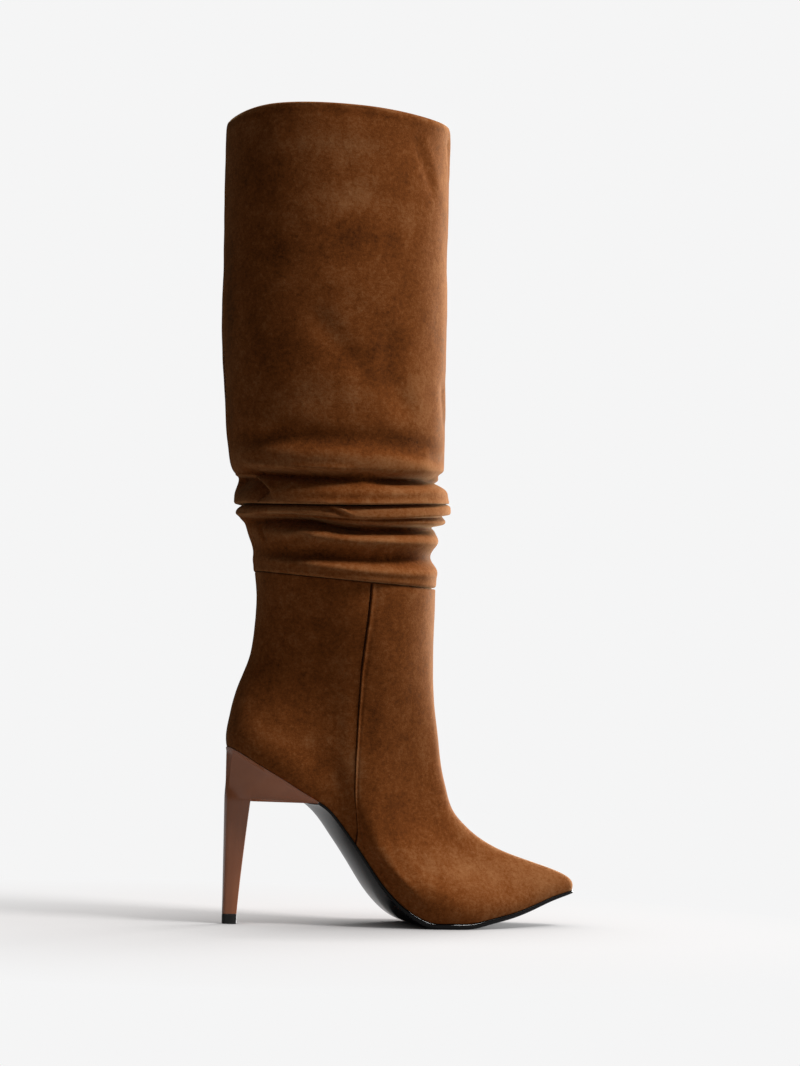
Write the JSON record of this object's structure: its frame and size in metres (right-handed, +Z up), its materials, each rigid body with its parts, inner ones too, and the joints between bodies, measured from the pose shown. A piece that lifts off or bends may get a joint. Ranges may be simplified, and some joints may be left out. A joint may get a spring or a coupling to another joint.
{
  "type": "knee-high boot",
  "caption": "Knee-high pull-on slouch boot with a pointed toe, soft gathered ankle, thin sole and tall stiletto heel.",
  "frame": {"origin": "middle of the heel tip's underside, on the floor", "axes": "+X to the toe, +Y to the inner side of the foot, +Z up along the leg"},
  "size_m": [0.235, 0.115, 0.4951],
  "materials": {
    "suede": "soft brown suede, matt, with light and dark nap",
    "lining": "smooth tan lining leather",
    "sole": "glossy black lacquered sole",
    "heel": "glossy reddish brown lacquer",
    "heel_tip": "hard black rubber"
  },
  "bodies": {
    "root": {"shaft": "suede", "upper": "suede", "insole": "lining", "outsole": "sole", "heel": "heel", "heel_tip": "heel_tip"}
  },
  "joints": []
}
